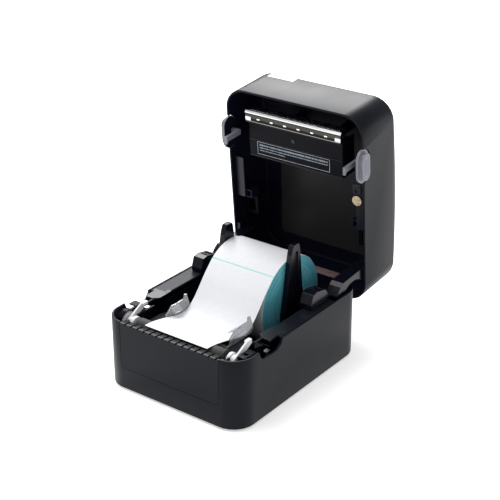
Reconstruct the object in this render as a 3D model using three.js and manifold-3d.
// Four-inch desktop label printer with its clamshell lid open.
// Millimetres, +Z up, +X to the right seen from the front, the front faces -Y.
// Every sub-part is drawn with y = 0 at the front face, z = 0 at the underside of the housing and the lid
// closed. The lid group then turns open about its hinge, and the whole printer moves to its origin.
import * as THREE from 'three';
import { mergeVertices } from 'three/addons/utils/BufferGeometryUtils.js';
import Module from 'manifold-3d';

const wasm = await Module();
wasm.setup();

// ---- driving dimensions ----
const HALF_W = 89;            // half the width over the housing
const DEPTH = 221;            // front face to rear face
const BASE_H = 78;            // underside of the housing to the lid's parting line
const WALL = 2.6;
const CORNER_R = 25;          // upright corners
const SEAM = 0.2;             // half the gap at the parting line
const GAP = 0.3;              // gap between two pieces that touch
const FOOT_H = 2;
const LID_H = 66.8;           // crown of the lid over the parting line
const CROWN_Y = 105;          // where the crown is highest
const CROWN_DROP = 4.8;       // how much lower the lid is at its front edge
const LID_EDGE_R = 6;         // rounding along the lid's upper edges
const HINGE_Y = 210.3;        // hinge axis, inside the rear wall
const HINGE_Z = 58.4;
const OPEN_DEG = 84.7;
const HALF_MEDIA = 40.5;      // half the label liner's width
const ROLL_R = 51;
const ROLL_Y = 156.6;
const ROLL_Z = 69.5;
const CORE_R = 12.6;
const PLATEN_Y = 23;
const PLATEN_Z = 66.5;
const PLATEN_R = 8.3;
const MOTOR_Y = 41;
const MOTOR_Z = 28.4;
const MODULE = 1;             // tooth module of every gear and rack
const PLATEN_TEETH = 20;
const IDLER_TEETH = 28;
const PINION_TEETH = 12;
const GEAR_X = -75;           // middle of the gear train
const GEAR_HALF_W = 2.5;
const BAY_IN = 68;            // half the width inside the media bay
const BAY_OUT = 70;
const BAY_FLOOR_Z = 14.4;
const DECK_TOP = 77.3;
const BUTTON_Y = 53.5;        // centre of the lid release buttons, on the parting line
const BUTTON_Z = 78.2;
const BUTTON_HALF_L = 18.8;
const BUTTON_HALF_H = 10.4;
const ORIGIN_Y = 145.8;       // half the depth of the opened printer

// ---- materials ----
const material = (color, roughness, metalness = 0, opacity = 1) => new THREE.MeshStandardMaterial({
  color, roughness, metalness, opacity, transparent: opacity < 1,
});
const shellBlack = material(0x24242a, 0.55);
const innerBlack = material(0x131319, 0.6);
const deckGrey = material(0x45454a, 0.5);
const rubberBlack = material(0x2c2b2b, 0.9);
const buttonGrey = material(0x9d9da8, 0.5);
const nylonWhite = material(0xe8e8ea, 0.45);
const steel = material(0xb9bbbf, 0.3, 1);
const aluminium = material(0xc4c6c8, 0.35, 1);
const brass = material(0xaa9a82, 0.35, 1);
const paperWhite = material(0xecedf4, 0.85);
const linerTeal = material(0x57a3ba, 0.7);
const cardboard = material(0xb08c62, 0.9);
const smoked = material(0x2a282b, 0.15, 0, 0.6);
const clearGrey = material(0xc8ccd0, 0.3, 0, 0.55);
const boardGreen = material(0x1f5a3c, 0.6);

// ---- geometry helpers ----
const AXES = {
  x: [new THREE.Vector3(0, 1, 0), new THREE.Vector3(0, 0, 1), new THREE.Vector3(1, 0, 0)],
  y: [new THREE.Vector3(1, 0, 0), new THREE.Vector3(0, 0, 1), new THREE.Vector3(0, -1, 0)],
  z: [new THREE.Vector3(1, 0, 0), new THREE.Vector3(0, 1, 0), new THREE.Vector3(0, 0, 1)],
};

// A closed outline pushed along an axis: [y, z] points for x, [x, z] for y, [x, y] for z.
function prism(axis, points, from, to) {
  const shape = new THREE.Shape(points.map(([a, b]) => new THREE.Vector2(a, b)));
  const geometry = new THREE.ExtrudeGeometry(shape, { depth: to - from, bevelEnabled: false });
  geometry.applyMatrix4(new THREE.Matrix4().makeBasis(...AXES[axis]));
  const offset = axis === 'y' ? to : from;
  return geometry.translate(axis === 'x' ? offset : 0, axis === 'y' ? offset : 0, axis === 'z' ? offset : 0);
}

function block(x0, x1, y0, y1, z0, z1) {
  const geometry = new THREE.BoxGeometry(x1 - x0, y1 - y0, z1 - z0);
  return geometry.translate((x0 + x1) / 2, (y0 + y1) / 2, (z0 + z1) / 2);
}

function rod(axis, radius, from, to, a, b, sides = 24) {
  const geometry = new THREE.CylinderGeometry(radius, radius, to - from, sides);
  const middle = (from + to) / 2;
  if (axis === 'x') return geometry.rotateZ(-Math.PI / 2).translate(middle, a, b);
  if (axis === 'y') return geometry.translate(a, middle, b);
  return geometry.rotateX(Math.PI / 2).translate(a, b, middle);
}

// A ring or stepped disc turned about a line along X: profile points are [radius, x].
function turned(profile, y, z, sides = 32) {
  const closed = [...profile, profile[0]].map(([r, x]) => new THREE.Vector2(r, x));
  const geometry = new THREE.LatheGeometry(closed, sides);
  return geometry.rotateZ(-Math.PI / 2).translate(0, y, z);
}

function toManifold(geometry) {
  const bare = geometry.clone();
  bare.deleteAttribute('normal');
  bare.deleteAttribute('uv');
  const merged = mergeVertices(bare, 1e-4);
  return new wasm.Manifold(new wasm.Mesh({
    numProp: 3,
    vertProperties: new Float32Array(merged.attributes.position.array),
    triVerts: new Uint32Array(merged.index.array),
  }));
}

function toGeometry(solid) {
  const mesh = solid.getMesh();
  const geometry = new THREE.BufferGeometry();
  geometry.setAttribute('position', new THREE.BufferAttribute(new Float32Array(mesh.vertProperties), 3));
  geometry.setIndex(new THREE.BufferAttribute(new Uint32Array(mesh.triVerts), 1));
  return geometry;
}

// The first geometry with the added ones joined on and the removed ones cut out.
function shaped(first, added = [], removed = []) {
  let solid = toManifold(first);
  for (const piece of added) solid = solid.add(toManifold(piece));
  for (const piece of removed) solid = solid.subtract(toManifold(piece));
  return toGeometry(solid);
}

function overlap(a, b) {
  return toGeometry(toManifold(a).intersect(toManifold(b)));
}

function mirrored(points) {
  return points.map(([x, y]) => [-x, y]).reverse();
}

function named(name, geometry, surface) {
  const mesh = new THREE.Mesh(geometry, surface);
  mesh.name = name;
  return mesh;
}

// The two sides are drawn from one function: side is -1 for left and +1 for right.
const SIDES = [['left', -1], ['right', 1]];
const span = (side, near, far) => (side > 0 ? [near, far] : [-far, -near]);

function sideBlock(side, near, far, y0, y1, z0, z1) {
  const [x0, x1] = span(side, near, far);
  return block(x0, x1, y0, y1, z0, z1);
}

function sidePrism(side, points, near, far) {
  return prism('x', points, ...span(side, near, far));
}

function sideRod(side, radius, near, far, y, z, sides = 24) {
  return rod('x', radius, ...span(side, near, far), y, z, sides);
}

function arcPoints(cy, cz, radius, fromDeg, toDeg, steps) {
  return Array.from({ length: steps + 1 }, (_, i) => {
    const angle = THREE.MathUtils.degToRad(fromDeg + (toDeg - fromDeg) * i / steps);
    return [cy + radius * Math.cos(angle), cz + radius * Math.sin(angle)];
  });
}

// Rounded-rectangle footprint of the printer, moved inwards by inset. Stations add corners along its sides.
function footprint(inset, stations = []) {
  const r = CORNER_R - inset;
  const x = HALF_W - CORNER_R;
  const front = CORNER_R;
  const rear = DEPTH - CORNER_R;
  return [
    ...arcPoints(x, front, r, 270, 360, 8),
    ...stations.map((y) => [HALF_W - inset, y]),
    ...arcPoints(x, rear, r, 0, 90, 8),
    ...arcPoints(-x, rear, r, 90, 180, 8),
    ...[...stations].reverse().map((y) => [inset - HALF_W, y]),
    ...arcPoints(-x, front, r, 180, 270, 8),
  ];
}

// Rings of equal length joined in order. The last ring joins the first, or both are capped from their middle.
function loft(rings, closed) {
  const count = rings[0].length;
  const positions = rings.flat(2);
  const index = [];
  const bands = closed ? rings.length : rings.length - 1;
  for (let band = 0; band < bands; band += 1) {
    const low = band * count;
    const high = ((band + 1) % rings.length) * count;
    for (let i = 0; i < count; i += 1) {
      const next = (i + 1) % count;
      index.push(low + i, low + next, high + next, low + i, high + next, high + i);
    }
  }
  if (!closed) {
    const last = (rings.length - 1) * count;
    const under = rings.length * count;
    positions.push(0, DEPTH / 2, rings[0][0][2], 0, DEPTH / 2, rings[rings.length - 1][0][2]);
    for (let i = 0; i < count; i += 1) {
      const next = (i + 1) % count;
      index.push(under, next, i, under + 1, last + i, last + next);
    }
  }
  const geometry = new THREE.BufferGeometry();
  geometry.setAttribute('position', new THREE.Float32BufferAttribute(positions, 3));
  geometry.setIndex(index);
  return geometry;
}

const ringAt = (inset, height, stations) => footprint(inset, stations).map(([x, y]) => [x, y, height(y)]);

// The lid's top is crowned from front to rear. It is drawn in straight steps that reach past both ends.
const CROWN_STEP = 13;
const crownLine = Array.from({ length: 20 }, (_, i) => {
  const y = CROWN_STEP * (i - 1);
  return [y, BASE_H + LID_H - CROWN_DROP * ((y - CROWN_Y) / CROWN_Y) ** 2];
});
const crownStations = crownLine.map(([y]) => y).filter((y) => y > CORNER_R && y < DEPTH - CORNER_R);

function lidTop(y) {
  const step = Math.floor(y / CROWN_STEP) + 1;
  const [y0, z0] = crownLine[step];
  const [y1, z1] = crownLine[step + 1];
  return z0 + (z1 - z0) * (y - y0) / (y1 - y0);
}

// A slab from one depth under the crowned top to one height over it, wider than the printer.
function crownSlab(under, over) {
  const lower = crownLine.map(([y, z]) => [y, z - under]);
  const upper = crownLine.map(([y, z]) => [y, z + over]).reverse();
  return prism('x', [...lower, ...upper], -HALF_W - 1, HALF_W + 1);
}

function roundedPlate(x0, x1, y0, y1, radius) {
  return [
    ...arcPoints(x1 - radius, y0 + radius, radius, 270, 360, 4),
    ...arcPoints(x1 - radius, y1 - radius, radius, 0, 90, 4),
    ...arcPoints(x0 + radius, y1 - radius, radius, 90, 180, 4),
    ...arcPoints(x0 + radius, y0 + radius, radius, 180, 270, 4),
  ];
}

// A plate that follows the lid's crowned top.
function lidTopPlate(outline, under, over) {
  return overlap(prism('z', outline, BASE_H, BASE_H + LID_H + over + 1), crownSlab(under, over));
}

// Straight-flanked spur teeth, thinned for backlash. spin turns the gear so that a tooth points that way.
function gearOutline(teeth, spinDeg) {
  const pitchR = MODULE * teeth / 2;
  const pitchDeg = 360 / teeth;
  const flank = [
    [pitchR - 1.15 * MODULE, 0.3], [pitchR, 0.205], [pitchR + 0.8 * MODULE, 0.1],
  ];
  const points = [];
  for (let i = 0; i < teeth; i += 1) {
    const middle = spinDeg + i * pitchDeg;
    const sides = [...flank.map(([r, w]) => [r, -w]), ...[...flank].reverse()];
    for (const [r, w] of sides) {
      const angle = THREE.MathUtils.degToRad(middle + w * pitchDeg);
      points.push([r * Math.cos(angle), r * Math.sin(angle)]);
    }
  }
  return points;
}

function gearAcross(teeth, spinDeg, y, z, boreR) {
  const outline = gearOutline(teeth, spinDeg).map(([a, b]) => [y + a, z + b]);
  const body = prism('x', outline, GEAR_X - GEAR_HALF_W, GEAR_X + GEAR_HALF_W);
  return shaped(body, [], [rod('x', boreR, GEAR_X - 9, GEAR_X + 9, y, z)]);
}

// A straight rack along X with its teeth pointing along facing (+1 or -1 in y) at the pitch line.
function rackOutline(x0, x1, pitchY, facing, backY) {
  const pitch = Math.PI * MODULE;
  const root = pitchY - facing * 1.15 * MODULE;
  const tip = pitchY + facing * 0.75 * MODULE;
  const points = [[x0, root]];
  const first = Math.ceil((x0 + pitch) / pitch);
  const last = Math.floor((x1 - pitch) / pitch);
  for (let i = first; i < last; i += 1) {
    const middle = (i + 0.5) * pitch;
    points.push([middle - 0.30 * pitch, root], [middle - 0.10 * pitch, tip]);
    points.push([middle + 0.10 * pitch, tip], [middle + 0.30 * pitch, root]);
  }
  points.push([x1, root], [x1, backY], [x0, backY]);
  return facing > 0 ? points.reverse() : points;
}

// ---- base: casing ----
function stadium(y, z, halfL, halfH) {
  return [
    ...arcPoints(y + halfL - halfH, z, halfH, -90, 90, 8),
    ...arcPoints(y - halfL + halfH, z, halfH, 90, 270, 8),
  ];
}

function buttonCutters() {
  const outline = stadium(BUTTON_Y, BUTTON_Z, BUTTON_HALF_L + 0.6, BUTTON_HALF_H + 0.6);
  return SIDES.map(([, side]) => sidePrism(side, outline, HALF_W - 6, HALF_W + 6));
}

const KNUCKLE_IN = 70.6;      // the lid arm's knuckle, from the middle of the printer
const KNUCKLE_OUT = 74.8;
const KNUCKLE_R = 5;
const PIN_R = 2;
const PIN_BORE_R = 2.3;
const PIN_END = 80.2;
const SWEEP_R = 19.5;         // the rear wall stays inside this radius about the hinge, so the lid can pass
const PORT_Y = DEPTH - 4;     // the rear openings are cut from here outwards

// The boss in each rear corner that holds a hinge pin.
function hingeBoss(side) {
  const near = KNUCKLE_OUT + 0.4;
  const boss = shaped(sideRod(side, KNUCKLE_R, near, HALF_W, HINGE_Y, HINGE_Z), [
    sideBlock(side, near, HALF_W, HINGE_Y, DEPTH, HINGE_Z - KNUCKLE_R, HINGE_Z + KNUCKLE_R),
  ]);
  return overlap(boss, prism('z', footprint(WALL / 2), 0, BASE_H));
}

function baseHousing() {
  const rim = () => BASE_H - SEAM;
  const foot = () => 0;
  const rings = [ringAt(0, foot), ringAt(0, rim), ringAt(WALL, rim), ringAt(WALL, foot)];
  const sweep = [
    ...arcPoints(HINGE_Y, HINGE_Z, SWEEP_R, 90, 50, 8),
    [DEPTH + 5, HINGE_Z + 14], [DEPTH + 5, BASE_H + 9], [HINGE_Y, BASE_H + 9],
  ];
  const cutters = [
    block(-64.4, 64.4, -1, WALL + 1, 24.6, BASE_H + 1),
    block(-62, -50, PORT_Y, DEPTH + 1, 9.4, 20),
    block(-32.3, -19.7, PORT_Y, DEPTH + 1, 9.4, 20),
    block(43.7, 60.3, PORT_Y, DEPTH + 1, 7.7, 19.3),
    block(-56, 56, PORT_Y, DEPTH + 1, 34, 42),
    prism('x', sweep, -HALF_W - 1, HALF_W + 1),
    ...buttonCutters(),
    ...SIDES.map(([, side]) => sideRod(side, PIN_BORE_R, KNUCKLE_IN, PIN_END + GAP, HINGE_Y, HINGE_Z)),
  ];
  const bosses = SIDES.map(([, side]) => hingeBoss(side));
  return named('base_housing', shaped(loft(rings, true), bosses, cutters), shellBlack);
}

const FEET = [[-70, 26], [70, 26], [-70, 195], [70, 195]];

function baseTray() {
  const plate = prism('z', footprint(WALL + GAP), 0.5, 3);
  const corners = [[-60, 100], [36, 100], [-60, 200], [36, 200]];
  const posts = corners.map(([x, y]) => rod('z', 3, 2.5, 7.7, x, y, 12));
  return named('base_tray', shaped(plate, posts), shellBlack);
}

function feet() {
  return FEET.map(([x, y], i) => named(`foot_${i + 1}`, rod('z', 8, -FOOT_H, 0.5 - GAP, x, y), rubberBlack));
}

// The removable front panel carries the comb that the labels run over.
function frontPanel() {
  const plate = block(-64, 64, 0, 2.4, 25, 77.2);
  const lip = block(-64, 64, 2, 11.6, 69.6, 72);
  const pitch = 8.4;
  const ribHalf = 3;
  const rib = [[0.8, 70.8], [11.4, 70.8], [11.4, 74.4], [9.6, 75.9], [0.8, 77.2]];
  const ribs = [];
  for (let x = -7.5 * pitch + 2; x < 64; x += pitch) {
    ribs.push(prism('x', rib, Math.max(x - ribHalf, -64), Math.min(x + ribHalf, 64)));
  }
  return named('front_panel', shaped(plate, [lip, ...ribs]), shellBlack);
}

// ---- base: media bay and decks ----
const BAY_FRONT_Y = 79;
const BAY_REAR_Y = 204;

function mediaBay() {
  const under = BAY_FLOOR_Z - 2;
  const floor = block(-BAY_OUT, BAY_OUT, BAY_FRONT_Y, BAY_REAR_Y, under, BAY_FLOOR_Z);
  const walls = SIDES.map(([, side]) => sideBlock(side, BAY_IN, BAY_OUT, BAY_FRONT_Y, BAY_REAR_Y, under, 70));
  const front = block(-BAY_OUT, BAY_OUT, BAY_FRONT_Y, BAY_FRONT_Y + 2, under, 58);
  const rear = block(-BAY_OUT, BAY_OUT, BAY_REAR_Y - 2, BAY_REAR_Y, under, 31);
  return named('media_bay', shaped(floor, [...walls, front, rear]), innerBlack);
}

const DECK_REAR_Y = 171;

// A ledge beside the media bay. Its front end reaches past the latch as a narrow tongue.
function deck(name, side) {
  const outline = [
    [BAY_OUT + GAP, 48], [72.2, 50], [72.2, 63], [81.2, 63], [81.2, 75], [86.1, 75], [86.1, DECK_REAR_Y],
    [BAY_IN, DECK_REAR_Y], [BAY_IN, 66], [BAY_OUT + GAP, 64],
  ];
  const points = side > 0 ? outline : mirrored(outline);
  return named(`deck_${name}`, prism('z', points, DECK_TOP - 2.3, DECK_TOP), deckGrey);
}

function sideBlockCover(name, side) {
  const outline = [
    [137, 77.6], [DECK_REAR_Y - 1, 77.6], [168, 87], [163, 93], [147, 96.2], [140, 94.5], [136.4, 84],
  ];
  const body = sidePrism(side, outline, 65.5, 80);
  const slot = sideBlock(side, 68, 74, 147, 151, 89, 99);
  const well = sideBlock(side, 68, 77, 156, 160, 87, 99);
  return named(`side_block_${name}`, shaped(body, [], [slot, well]), innerBlack);
}

function paperDeck() {
  const table = prism('x', [
    [34, 60.3], [60, 60.3], [77.5, 56], [77.5, 58.3], [60, 62.5], [34, 62.5],
  ], -62, 62);
  const legs = SIDES.map(([, side]) => sideBlock(side, 59, 62, 66, 76, 3.3, 58));
  return named('paper_deck', shaped(table, legs), deckGrey);
}

// ---- base: platen drive ----
const idlerCentre = (() => {
  const toPlaten = MODULE * (PLATEN_TEETH + IDLER_TEETH) / 2 + 0.1;
  const toMotor = MODULE * (IDLER_TEETH + PINION_TEETH) / 2 + 0.1;
  const line = new THREE.Vector2(MOTOR_Y - PLATEN_Y, MOTOR_Z - PLATEN_Z);
  const distance = line.length();
  const along = (toPlaten ** 2 - toMotor ** 2 + distance ** 2) / (2 * distance);
  const across = Math.sqrt(toPlaten ** 2 - along ** 2);
  line.normalize();
  return [PLATEN_Y + line.x * along - line.y * across, PLATEN_Z + line.y * along + line.x * across];
})();
const [IDLER_Y, IDLER_Z] = idlerCentre;
const bearing = (y0, z0, y1, z1) => THREE.MathUtils.radToDeg(Math.atan2(z1 - z0, y1 - y0));

function drive() {
  const toIdler = bearing(PLATEN_Y, PLATEN_Z, IDLER_Y, IDLER_Z);
  const toMotor = bearing(IDLER_Y, IDLER_Z, MOTOR_Y, MOTOR_Z);
  const idlerPitch = 360 / IDLER_TEETH;
  // A platen tooth points at the idler, so an idler gap faces it.
  const idlerSpin = toIdler + 180 + idlerPitch / 2;
  // The pinion's gap takes the phase that the idler's teeth have on the motor side.
  const phase = (toMotor - idlerSpin) / idlerPitch;
  const pinionPitch = 360 / PINION_TEETH;
  const pinionSpin = toMotor + 180 + pinionPitch * (0.5 + phase);
  const shaft = rod('x', 3, -79.5, 70.3, PLATEN_Y, PLATEN_Z);
  const rubber = turned([[3.3, -56], [PLATEN_R, -56], [PLATEN_R, 56], [3.3, 56]], PLATEN_Y, PLATEN_Z);
  const motorGear = gearAcross(PINION_TEETH, pinionSpin, MOTOR_Y, MOTOR_Z, 1);
  const motorShaft = rod('x', 1.5, GEAR_X - 4, -64.6, MOTOR_Y, MOTOR_Z, 16);
  return [
    named('platen_shaft', shaft, steel),
    named('platen_rubber', rubber, rubberBlack),
    named('platen_gear', gearAcross(PLATEN_TEETH, toIdler, PLATEN_Y, PLATEN_Z, 3.3), nylonWhite),
    named('idler_gear', gearAcross(IDLER_TEETH, idlerSpin, IDLER_Y, IDLER_Z, PIN_BORE_R), nylonWhite),
    named('idler_pin', rod('x', PIN_R, GEAR_X - 4, -66.8, IDLER_Y, IDLER_Z), steel),
    named('motor_pinion', shaped(motorGear, [motorShaft]), nylonWhite),
  ];
}

function stepperMotor() {
  const half = 17.5;
  const cut = 4;
  const corner = [[-half + cut, -half], [half - cut, -half], [half, -half + cut], [half, half - cut]];
  const outline = [...corner, ...corner.map(([a, b]) => [-a, -b])];
  const body = prism('x', outline.map(([a, b]) => [MOTOR_Y + a, MOTOR_Z + b]), -64.2, -44);
  return named('stepper_motor', body, steel);
}

// Upright frame plate with the open bearing slot, and a shelf over the housing's front corner. The left
// shelf stops short of the gears.
function sideFrame(name, side) {
  const plate = sideBlock(side, 64.5, 66.5, 10, 56, 3.3, 73.5);
  const wideShelf = [
    [66, 4.6], [72, 5.5], [79, 10.2], [84.4, 17.5], [85.7, 25], [85.7, 33.5], [81, 33.5], [81, 47], [66, 47],
  ];
  const gearShelf = [[66, 4.6], [72, 5.5], [78, 9.4], [78, 11.5], [71, 11.5], [71, 47], [66, 47]];
  const top = prism('z', side > 0 ? wideShelf : mirrored(gearShelf), 65.6, 67.6);
  const slot = sideBlock(side, 60, 71.2, PLATEN_Y - 6.8, PLATEN_Y + 6.8, PLATEN_Z, 80);
  const slotFloor = sideRod(side, 6.8, 60, 71.2, PLATEN_Y, PLATEN_Z);
  const motorHole = rod('x', 6, -70, -60, MOTOR_Y, MOTOR_Z);
  const cutters = side < 0 ? [slot, slotFloor, motorHole] : [slot, slotFloor];
  return named(`side_frame_${name}`, shaped(plate, [top], cutters), innerBlack);
}

// Nylon platen bearing with the lever that locks it in its slot.
function bush(name, side) {
  const ring = sideRod(side, 6.4, 60.8, 70, PLATEN_Y, PLATEN_Z);
  const flange = sideRod(side, 8, 60.8, 64.2, PLATEN_Y, PLATEN_Z);
  const arm = sidePrism(side, [
    [PLATEN_Y - 2, PLATEN_Z + 6], [PLATEN_Y + 4, PLATEN_Z + 1], [PLATEN_Y + 24, PLATEN_Z + 11],
    [PLATEN_Y + 24, PLATEN_Z + 15.5], [PLATEN_Y + 17, PLATEN_Z + 15.5],
  ], 67.9, 70);
  const tab = sideBlock(side, 66, 70, PLATEN_Y + 16.5, PLATEN_Y + 24, PLATEN_Z + 12.5, PLATEN_Z + 15.5);
  const bore = sideRod(side, 3.3, 60, 71, PLATEN_Y, PLATEN_Z);
  return named(`bush_${name}`, shaped(ring, [flange, arm, tab], [bore]), nylonWhite);
}

function latchCatch(name, side) {
  const outline = [[56.8, 63], [61, 63], [61, 3.3], [62.8, 3.3], [62.8, 66], [56.8, 66]];
  return named(`latch_catch_${name}`, sidePrism(side, outline, 76.4, 81), steel);
}

// ---- base: electronics and rear panel ----
function electronics() {
  const board = block(-66, 40, 95, DEPTH - 7, 8, 9.6);
  const inlet = shaped(block(-61.7, -50.3, DEPTH - 14, DEPTH - 0.3, 9.9, 19.6), [], [
    rod('y', 3.2, DEPTH - 12, DEPTH + 1, -56, 14.7, 20),
  ]);
  const usb = shaped(block(-32, -20, DEPTH - 16, DEPTH - 0.3, 9.9, 19.6), [], [
    block(-30.4, -21.6, DEPTH - 13, DEPTH + 1, 11, 18.6),
  ]);
  return [
    named('main_board', board, boardGreen),
    named('dc_inlet', inlet, innerBlack),
    named('usb_socket', usb, steel),
    named('gap_sensor', block(-9, 9, 66, 74, 50, 55.5), innerBlack),
  ];
}

const ROCKER_X = 52;
const ROCKER_Y = DEPTH - 0.5;

function powerSwitch() {
  const bezel = shaped(block(44, 60, DEPTH - 7, DEPTH - 0.4, 8, 19), [
    block(43, 61, DEPTH + GAP, DEPTH + 1.5, 6.6, 20.2),
    block(44, 60, DEPTH - 1, DEPTH + 1, 8, 19),
  ], [block(45.6, 58.4, DEPTH - 5, DEPTH + 3, 9.4, 17.6)]);
  const outline = [[-5.4, -0.6], [-5.4, -2.4], [5.4, -2.4], [5.4, -0.6], [0, 1.6]];
  const tilt = THREE.MathUtils.degToRad(-9);
  const turnedOutline = outline.map(([a, b]) => [
    ROCKER_X + a * Math.cos(tilt) - b * Math.sin(tilt), ROCKER_Y + a * Math.sin(tilt) + b * Math.cos(tilt),
  ]);
  return [
    named('switch_bezel', bezel, innerBlack),
    named('power_rocker', prism('z', turnedOutline, 9.8, 17.2), shellBlack),
  ];
}

// ---- media ----
function mediaRing(name, innerR, outerR, sides, surface) {
  const edge = HALF_MEDIA;
  const profile = [[innerR, -edge], [outerR, -edge], [outerR, edge], [innerR, edge]];
  return named(name, turned(profile, ROLL_Y, ROLL_Z, sides), surface);
}

function labelRoll() {
  return [
    mediaRing('label_roll', CORE_R + GAP, ROLL_R, 64, linerTeal),
    mediaRing('roll_core', CORE_R - 1.6, CORE_R, 32, cardboard),
  ];
}

// The label web leaves the top of the roll, dips into the bay and climbs over the platen to the front.
const WEB_RUN = [
  [109, 94.6], [99.8, 83.6], [89.5, 72.9], [77.5, 65.6], [64, 66], [51, 69.4], [36, 73],
  [PLATEN_Y, 75.4], [12.3, 76.3],
];

function labelWeb() {
  const thickness = 0.4;
  const wrap = arcPoints(ROLL_Y, ROLL_Z, ROLL_R + 0.5, 78, 137, 10);
  const knots = [wrap[wrap.length - 1], ...WEB_RUN].map(([y, z]) => new THREE.Vector3(0, y, z));
  const run = new THREE.CatmullRomCurve3(knots).getPoints(28).map((p) => [p.y, p.z]);
  const middle = [...wrap, ...run.slice(1)];
  const normals = middle.map((_, i) => {
    const before = middle[Math.max(i - 1, 0)];
    const after = middle[Math.min(i + 1, middle.length - 1)];
    return new THREE.Vector2(before[1] - after[1], after[0] - before[0]).normalize();
  });
  const shifted = (distance) => middle.map(([y, z], i) => [
    y + normals[i].x * distance, z + normals[i].y * distance,
  ]);
  const outline = [...shifted(thickness / 2), ...shifted(-thickness / 2).reverse()];
  return named('label_web', prism('x', outline, -HALF_MEDIA, HALF_MEDIA), paperWhite);
}

// Upright that holds the roll's end on a short hub, with the rack that centres it against its twin.
const CENTRING_TEETH = 12;
const RACK_OFFSET = MODULE * CENTRING_TEETH / 2 + 0.05;
const RACK_BACK = 4.5;

function centringRack(side, y, z0, z1) {
  const facing = side > 0 ? 1 : -1;
  const [x0, x1] = side > 0 ? [-26, HALF_MEDIA + 1.5] : [-HALF_MEDIA - 1.5, 26];
  const pitchY = y - facing * RACK_OFFSET;
  return prism('z', rackOutline(x0, x1, pitchY, facing, pitchY - facing * RACK_BACK), z0, z1);
}

const ARM_TOP_Z = 138.4;

function rollArm(name, side) {
  const near = HALF_MEDIA + 0.7;
  const far = near + 6;
  const foot = BAY_FLOOR_Z + 0.4;
  const upright = sidePrism(side, [
    [131, foot], [184, foot], [173.5, 64], [168, 86], [163.2, 128], [161.6, ARM_TOP_Z - 2],
    [159.6, ARM_TOP_Z], [151.4, ARM_TOP_Z], [149.6, ARM_TOP_Z - 2], [146.8, 128], [141.2, 90], [136.8, 66],
  ], near, far);
  const hub = sideRod(side, 10.2, near - 5.5, near + 1, ROLL_Y, ROLL_Z);
  const groove = sidePrism(side, [[149, 58], [161, 58], [158.4, 130], [152.2, 130]], far - 1.6, far + 1);
  const rack = centringRack(side, ROLL_Y, foot, foot + 2.6);
  return named(`roll_arm_${name}`, shaped(upright, [hub, rack], [groove]), innerBlack);
}

const GUIDE_Y = 51;

function mediaGuide(name, side) {
  const near = HALF_MEDIA + 0.7;
  const wing = sidePrism(side, [
    [41, 62.8], [84, 64.5], [85, 72], [81, 84], [77.6, 84], [77, 79.4], [57, 79.4], [47, 72], [47, 65.5],
    [41, 65.2],
  ], near, near + 1.6);
  const tabSection = [[near + 1, 79.4], [34.5, 74.8], [34.5, 73.4], [near + 1, 77.6]];
  const points = side > 0 ? tabSection : mirrored(tabSection);
  const tab = prism('y', points, 54, 66);
  const rack = centringRack(side, GUIDE_Y, 62.8, 65.2);
  return named(`media_guide_${name}`, shaped(wing, [tab, rack]), clearGrey);
}

function centringPinion(name, y, z0, z1) {
  const outline = gearOutline(CENTRING_TEETH, 90).map(([a, b]) => [a, y + b]);
  return named(name, prism('z', outline, z0, z1), nylonWhite);
}

// ---- lid ----
const WINDOW = [-66, 66, 82, 201];
const HEAD_SPRING_X = 30;
const HEAD_SPRING_Y = 45;
const FEED_X = 58;
const FEED_Y = 40;
const FEED_R = 7;
const SCREW_X = 77;
const SCREW_Y = 98.5;

// The lid's outer or inner form: upright walls, a bevelled upper edge and the crowned top.
function lidForm(inset, foot, edge) {
  const bevel = edge * (1 - Math.SQRT1_2);
  const sides = loft([
    ringAt(inset, () => foot, crownStations),
    ringAt(inset, (y) => lidTop(y) - inset - edge, crownStations),
    ringAt(inset + bevel, (y) => lidTop(y) - inset - bevel, crownStations),
    ringAt(inset + edge, (y) => lidTop(y) - inset, crownStations),
    ringAt(inset + edge, () => BASE_H + LID_H + 5, crownStations),
  ], false);
  return overlap(sides, crownSlab(BASE_H, -inset));
}

function lidCover() {
  const rim = BASE_H + SEAM;
  const springPosts = [-HEAD_SPRING_X, HEAD_SPRING_X].map((x) => (
    rod('z', 5.5, 100.5, lidTop(HEAD_SPRING_Y) - 1.5, x, HEAD_SPRING_Y)));
  const screwBoss = rod('z', 5, 84, lidTop(SCREW_Y) - 1.5, SCREW_X, SCREW_Y, 16);
  const shell = shaped(lidForm(0, rim, LID_EDGE_R), [], [lidForm(WALL, rim - 1, LID_EDGE_R - WALL)]);
  const cutters = [
    lidTopPlate(roundedPlate(...WINDOW, 6), LID_EDGE_R, 2),
    ...buttonCutters(),
    rod('z', FEED_R + 0.4, 120, 150, FEED_X, FEED_Y),
    rod('z', 1.8, 120, 150, FEED_X, FEED_Y + 14, 12),
  ];
  return named('lid_cover', shaped(shell, [...springPosts, screwBoss], cutters), shellBlack);
}

function lidWindow() {
  const [x0, x1, y0, y1] = WINDOW;
  const outline = roundedPlate(x0 + GAP, x1 - GAP, y0 + GAP, y1 - GAP, 6);
  return named('lid_window', lidTopPlate(outline, 1.8, 0), smoked);
}

// Goose-neck arms screwed to the lid's side walls. They reach over the housing's rear wall when the lid is
// open and fold down behind the decks when it is closed.
const ARM_IN_R = 27;
const ARM_OUT_R = 38.5;
const ARM_ROOT_DEG = 132;
const ARM_NECK_DEG = 151;
const ARM_BEND_DEG = 208;
const ARM_END_DEG = 233;

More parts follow.
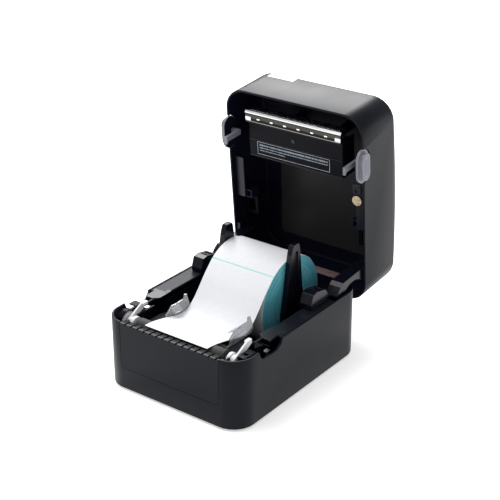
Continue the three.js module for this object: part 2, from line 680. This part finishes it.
function hingeArm(name, side) {
  const about = (r, from, to, steps) => arcPoints(HINGE_Y, HINGE_Z, r, from, to, steps);
  const neck = about(ARM_OUT_R, ARM_NECK_DEG, ARM_NECK_DEG, 1)[0];
  const root = about(ARM_IN_R, ARM_ROOT_DEG, ARM_ROOT_DEG, 1)[0];
  const profile = [
    ...about(ARM_IN_R, ARM_END_DEG, ARM_ROOT_DEG, 10), [root[0], 93], [neck[0], 99], neck,
    ...about(ARM_OUT_R, ARM_BEND_DEG, ARM_END_DEG, 3),
  ];
  const beam = sidePrism(side, profile, KNUCKLE_IN, 85);
  const flange = sideBlock(side, 82, 86.1, 168, 195, 80, 103);
  const web = sidePrism(side, [
    [HINGE_Y, HINGE_Z + 4], ...about(ARM_IN_R + 3, 198, ARM_END_DEG, 3), [HINGE_Y, HINGE_Z - 4],
  ], KNUCKLE_IN, KNUCKLE_OUT);
  const knuckle = sideRod(side, KNUCKLE_R, KNUCKLE_IN, KNUCKLE_OUT, HINGE_Y, HINGE_Z);
  const bore = sideRod(side, PIN_BORE_R, KNUCKLE_IN - 1, KNUCKLE_OUT + 1, HINGE_Y, HINGE_Z);
  return named(`hinge_arm_${name}`, shaped(beam, [flange, web, knuckle], [bore]), innerBlack);
}

function printHeadParts() {
  const [y0, y1] = [33, 76];
  const plate = block(-61, 61, y0, y1, 81, 83);
  const rails = SIDES.map(([, side]) => sideBlock(side, 59, 61, y0, y1, 81, 104));
  const front = block(-61, 61, y0, y0 + 2, 81, 96);
  const rear = block(-61, 61, y1 - 2, y1, 81, 96);
  const bar = prism('x', [[21.4, 78], [22.8, 76.5], [35.2, 76.5], [35.2, 80.6], [21.4, 80.6]], -62, 62);
  const fins = Array.from({ length: 4 }, (_, i) => block(-60, 60, 22.8 + i * 2.5, 24 + i * 2.5, 84, 93));
  const sink = shaped(block(-58, 58, 21.6, 32.4, 81, 92), [], fins);
  return [
    named('head_bracket', shaped(plate, [...rails, front, rear]), innerBlack),
    named('print_head', bar, aluminium),
    named('head_heatsink', sink, aluminium),
  ];
}

function headSpring(name, x) {
  const turns = 4;
  const points = Array.from({ length: turns * 8 + 1 }, (_, i) => {
    const angle = i * Math.PI / 4;
    const z = 84.1 + i / (turns * 8) * (99.5 - 84.1);
    return new THREE.Vector3(x + 3.6 * Math.cos(angle), HEAD_SPRING_Y + 3.6 * Math.sin(angle), z);
  });
  const wire = new THREE.Shape();
  wire.absarc(0, 0, 0.45, 0, Math.PI * 2);
  const geometry = new THREE.ExtrudeGeometry(wire, {
    extrudePath: new THREE.CatmullRomCurve3(points), steps: turns * 10, curveSegments: 3, bevelEnabled: false,
  });
  return named(name, geometry, steel);
}

function lidScrew() {
  const head = rod('z', 5.8, 81.6, 83.7, SCREW_X, SCREW_Y, 24);
  const cross = [
    block(SCREW_X - 5, SCREW_X + 5, SCREW_Y - 0.6, SCREW_Y + 0.6, 80, 82.4),
    block(SCREW_X - 0.6, SCREW_X + 0.6, SCREW_Y - 5, SCREW_Y + 5, 80, 82.4),
  ];
  return named('lid_screw', shaped(head, [], cross), brass);
}

function frontSticker() {
  return named('front_sticker', block(-65, -31, -0.35, -0.1, 124.6, 133.2), paperWhite);
}

function releaseButton(name, side) {
  const flange = sidePrism(side, stadium(BUTTON_Y, BUTTON_Z, BUTTON_HALF_L, BUTTON_HALF_H), 85.5, 89.8);
  const rim = 3.5;
  const padOutline = stadium(BUTTON_Y, BUTTON_Z, BUTTON_HALF_L - rim, BUTTON_HALF_H - rim);
  const pad = sidePrism(side, padOutline, 89, 92.2);
  const reach = sideBlock(side, 75.2, 86, 50, 56, 80, 84);
  const hook = sidePrism(side, [[50, 82], [50, 59], [58.6, 59], [55.8, 61.8], [55.8, 82]], 75.2, 78.4);
  return named(`release_button_${name}`, shaped(flange, [pad, reach, hook]), buttonGrey);
}

function feedButton() {
  const top = lidTop(FEED_Y);
  return [
    named('feed_button', rod('z', FEED_R, top - 6, top - 0.3, FEED_X, FEED_Y), buttonGrey),
    named('status_light', rod('z', 1.5, top - 5, top - 1, FEED_X, FEED_Y + 14, 12), clearGrey),
  ];
}

// ---- assembly ----
function buildLid() {
  const parts = new THREE.Group();
  parts.add(lidCover(), lidWindow(), ...printHeadParts(), lidScrew(), frontSticker(), ...feedButton());
  parts.add(headSpring('head_spring_left', -HEAD_SPRING_X), headSpring('head_spring_right', HEAD_SPRING_X));
  for (const [name, side] of SIDES) parts.add(hingeArm(name, side), releaseButton(name, side));
  parts.position.set(0, -HINGE_Y, -HINGE_Z);
  const hinge = new THREE.Group();
  hinge.add(parts);
  hinge.position.set(0, HINGE_Y, HINGE_Z);
  hinge.rotation.x = -THREE.MathUtils.degToRad(OPEN_DEG);
  return hinge;
}

function buildBase() {
  const base = new THREE.Group();
  base.add(baseHousing(), baseTray(), ...feet(), frontPanel(), mediaBay(), paperDeck(), stepperMotor());
  base.add(...drive(), ...electronics(), ...powerSwitch(), ...labelRoll(), labelWeb());
  base.add(centringPinion('arm_pinion', ROLL_Y, BAY_FLOOR_Z + 0.4, BAY_FLOOR_Z + 3));
  base.add(centringPinion('guide_pinion', GUIDE_Y, 62.8, 65.2));
  for (const [name, side] of SIDES) {
    base.add(deck(name, side), sideBlockCover(name, side), sideFrame(name, side), bush(name, side));
    base.add(latchCatch(name, side), rollArm(name, side), mediaGuide(name, side));
    const pin = sideRod(side, PIN_R, KNUCKLE_IN + 0.2, PIN_END, HINGE_Y, HINGE_Z);
    base.add(named(`hinge_pin_${name}`, pin, steel));
  }
  return base;
}

const printer = new THREE.Group();
printer.add(buildBase(), buildLid());
printer.position.set(0, -ORIGIN_Y, FOOT_H);

export default printer;
